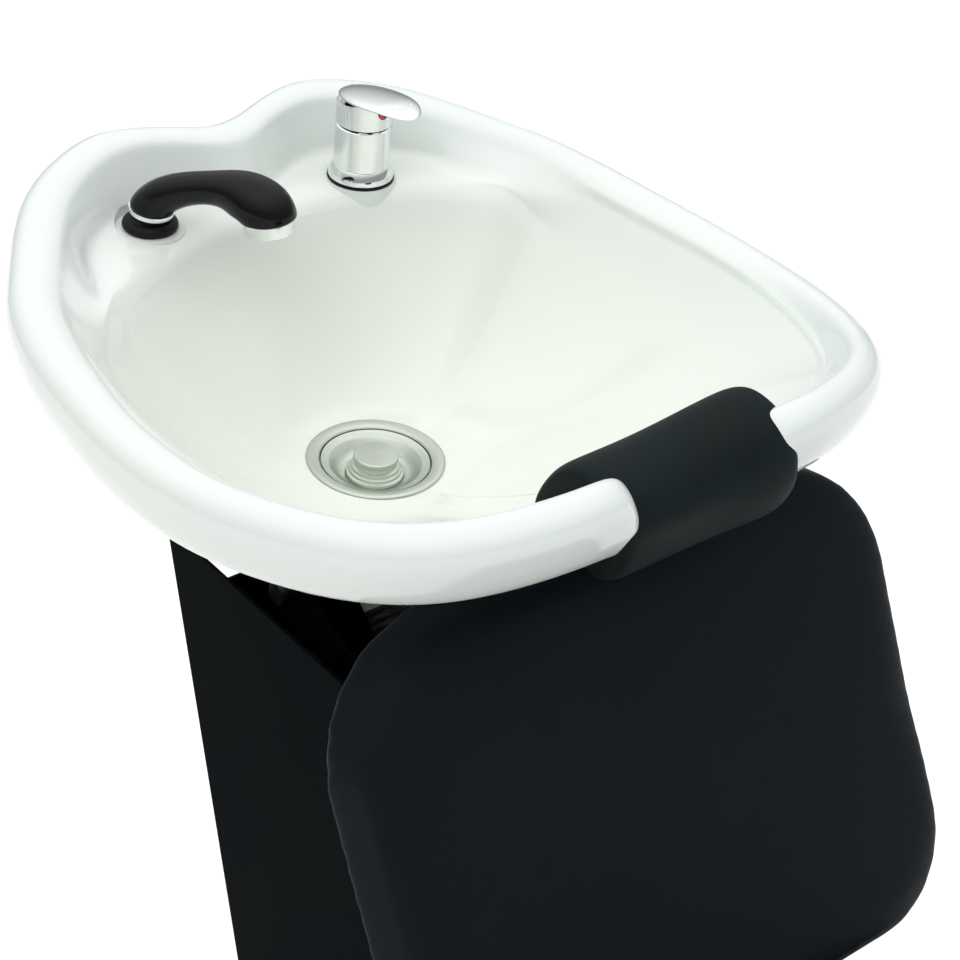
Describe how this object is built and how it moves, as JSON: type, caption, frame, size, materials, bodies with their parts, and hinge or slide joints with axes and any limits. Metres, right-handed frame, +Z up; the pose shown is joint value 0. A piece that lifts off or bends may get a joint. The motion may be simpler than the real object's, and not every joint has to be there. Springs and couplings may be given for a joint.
{
  "type": "shampoo backwash unit",
  "caption": "Salon hair washing station: a tilting ceramic bowl with mixer tap, hand shower and rubber neck rest on a pedestal, with a reclined back and a seat.",
  "frame": {"origin": "on the floor under the middle of the unit's bounding box", "axes": "+Z up, +Y from the seat towards the back of the bowl, +X to the left hand of a seated client"},
  "size_m": [0.571, 1.1276, 1.0278],
  "materials": {
    "ceramic": "gloss white glaze",
    "black_rubber": "matt black soft rubber",
    "seal_rubber": "black rubber",
    "stainless": "brushed stainless steel",
    "chrome": "polished chrome",
    "brass": "cast brass",
    "gloss_black": "gloss black plastic",
    "indicator": "red and blue mark",
    "grey_plastic": "grey plastic",
    "white_plastic": "white plastic",
    "braided_hose": "rubber hose in a stainless braid",
    "black_hose": "black reinforced hose",
    "black_steel": "matt black powder coat",
    "zinc_steel": "zinc plated steel",
    "nylon": "nylon",
    "upholstery": "smooth black vinyl over foam",
    "plywood": "plywood stained black"
  },
  "bodies": {
    "stand": {"floor_plate": "black_steel", "pedestal_frame": "black_steel", "door_stops": "black_steel", "housing_side_left": "black_steel", "housing_side_right": "black_steel", "housing_front": "black_steel", "yoke_cheeks": "black_steel", "yoke_bolts": "zinc_steel", "friction_washers": "nylon", "hinge_housing_leaves": "black_steel", "hinge_pins": "zinc_steel", "trap_body": "white_plastic", "trap_cup": "white_plastic", "waste_outlet": "white_plastic", "stop_valves": "chrome", "valve_bracket": "zinc_steel", "supply_hoses": "braided_hose", "waste_hose": "grey_plastic", "back_cushion": "upholstery", "back_board": "plywood", "back_brackets": "black_steel", "seat_cushion": "upholstery", "seat_board": "plywood", "seat_frame": "black_steel", "upholstery_screws": "zinc_steel", "levelling_feet": "seal_rubber", "foot_lock_nuts": "zinc_steel"},
    "basin_assembly": {"basin": "ceramic", "neck_rest": "black_rubber", "drain_flange": "stainless", "waste_cup": "stainless", "underside_gaskets": "seal_rubber", "waste_nuts": "white_plastic", "tail_elbow": "white_plastic", "tap_gasket": "seal_rubber", "tap_base_ring": "chrome", "tap_body": "chrome", "tap_shank": "brass", "deck_back_nuts": "brass", "spray_grommet": "seal_rubber", "basin_bracket": "black_steel", "basin_bolts": "zinc_steel", "pivot_bushes": "nylon", "spray_hose_loop": "black_hose"},
    "tap_turret": {"tap_cap": "chrome", "tap_index_dot": "indicator"},
    "tap_lever": {"tap_lever": "chrome"},
    "hand_shower": {"spray_collar": "chrome", "spray_shell": "gloss_black", "spray_nozzle_ring": "chrome", "spray_face": "grey_plastic", "spray_hose_stretch": "black_hose"},
    "strainer": {"strainer_plate": "stainless", "strainer_basket": "stainless", "strainer_knob": "stainless"},
    "service_door": {"service_door": "black_steel", "hinge_door_leaves": "black_steel"},
    "door_latch": {"door_latch": "gloss_black"},
    "valve_knob_hot": {"valve_knob_hot": "chrome"},
    "valve_knob_cold": {"valve_knob_cold": "chrome"}
  },
  "joints": [
    {"name": "basin_tilt", "type": "hinge", "parent": "stand", "child": "basin_assembly", "pos_m": [0, 0.33, 0.705], "axis": [1, 0, 0], "range_deg": [-12, 0], "deforming": ["waste_hose", "supply_hoses"]},
    {"name": "tap_turn", "type": "hinge", "parent": "basin_assembly", "child": "tap_turret", "pos_m": [0.096, 0.46674, 1.00257], "axis": [0, -0.1564, 0.9877], "range_deg": [-45, 45]},
    {"name": "tap_lift", "type": "hinge", "parent": "tap_turret", "child": "tap_lever", "pos_m": [0.096, 0.48416, 1.01403], "axis": [-1, 0, 0], "range_deg": [0, 25]},
    {"name": "shower_pull", "type": "slide", "parent": "basin_assembly", "child": "hand_shower", "axis": [0, -0.1564, 0.9877], "range_m": [0, 0.15], "deforming": ["spray_hose_loop"]},
    {"name": "strainer_lift", "type": "slide", "parent": "basin_assembly", "child": "strainer", "axis": [0, -0.1564, 0.9877], "range_m": [0, 0.08]},
    {"name": "door_swing", "type": "hinge", "parent": "stand", "child": "service_door", "pos_m": [0.151, 0.34363, 0.2967], "axis": [0, -0.1323, -0.9912], "range_deg": [0, 100]},
    {"name": "door_latch_turn", "type": "hinge", "parent": "service_door", "child": "door_latch", "pos_m": [-0.13, 0.3519, 0.39649], "axis": [0, 0.9912, -0.1323], "range_deg": [0, 90]},
    {"name": "valve_hot_turn", "type": "hinge", "parent": "stand", "child": "valve_knob_hot", "pos_m": [0.048, 0.12, 0.26], "axis": [0, 1, 0], "range_deg": [0, 90]},
    {"name": "valve_cold_turn", "type": "hinge", "parent": "stand", "child": "valve_knob_cold", "pos_m": [0.086, 0.12, 0.26], "axis": [0, 1, 0], "range_deg": [0, 90]}
  ]
}
